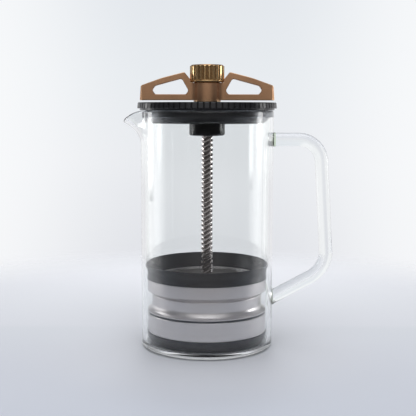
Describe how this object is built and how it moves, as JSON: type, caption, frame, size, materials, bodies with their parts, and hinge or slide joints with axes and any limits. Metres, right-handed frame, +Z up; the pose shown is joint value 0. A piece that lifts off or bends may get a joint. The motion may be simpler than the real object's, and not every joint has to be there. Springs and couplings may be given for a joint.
{
  "type": "french press",
  "caption": "Screw-driven french press: glass beaker with rod handle and spout, ribbed lid, winged drive handle, multi-start screw rod and twist-lock filter pod.",
  "frame": {"origin": "centre of the beaker's base, on the surface it stands on", "axes": "+Z up along the beaker's axis, +X towards the handle, spout along -X"},
  "size_m": [0.1589, 0.1048, 0.2131],
  "materials": {
    "glass": "clear borosilicate glass",
    "handle_glass": "clear solid borosilicate rod",
    "lid_black": "satin moulded plastic",
    "silicone_grey": "translucent grey silicone",
    "washer_black": "acetal",
    "bronze_anodised": "fine brushed, bronze anodised",
    "nut_black": "satin acetal",
    "steel": "plain stainless",
    "rod_steel": "polished stainless",
    "brass": "polished",
    "silicone_black": "matte silicone",
    "pod_aluminium": "fine bead-blasted, clear anodised",
    "plate_steel": "perforated sheet",
    "mesh_steel": "fine woven mesh"
  },
  "bodies": {
    "beaker": {"glass_beaker": "glass", "glass_handle": "handle_glass"},
    "lid": {"lid_cap": "lid_black", "lid_insert": "lid_black", "lid_gasket": "silicone_grey", "lower_thrust_washer": "washer_black"},
    "wing_drive": {"wing_handle": "bronze_anodised", "drive_nut": "nut_black", "upper_thrust_washer": "washer_black", "hub_locknut": "steel"},
    "plunger": {"screw_rod": "rod_steel", "knob": "brass", "wiper_seal": "silicone_black", "pod_body": "pod_aluminium", "upper_filter_plate": "plate_steel", "upper_mesh": "mesh_steel", "upper_retaining_ring": "steel", "rod_washer": "steel", "rod_cap_nut": "steel"},
    "pod_base": {"pod_lower_ring": "pod_aluminium", "pod_o_ring": "silicone_black", "lower_mesh": "mesh_steel", "lower_filter_plate": "plate_steel", "lower_retaining_ring": "steel", "base_seal_ring": "silicone_black"}
  },
  "joints": [
    {"name": "lid_lift", "type": "slide", "parent": "beaker", "child": "lid", "axis": [0, 0, 1], "range_m": [0, 0.185]},
    {"name": "wing_turn", "type": "hinge", "parent": "lid", "child": "wing_drive", "pos_m": [0, 0, 0.19], "axis": [0, 0, -1], "range_deg": [0, 2535]},
    {"name": "plunger_slide", "type": "slide", "parent": "lid", "child": "plunger", "axis": [0, 0, 1], "range_m": [0, 0.1]},
    {"name": "pod_twist", "type": "hinge", "parent": "plunger", "child": "pod_base", "pos_m": [0, 0, 0.03], "axis": [0, 0, 1], "range_deg": [0, 35]}
  ],
  "couplings": [
    {"joint": "plunger_slide", "follows": "wing_turn", "m_per_rad": 0.00226}
  ]
}
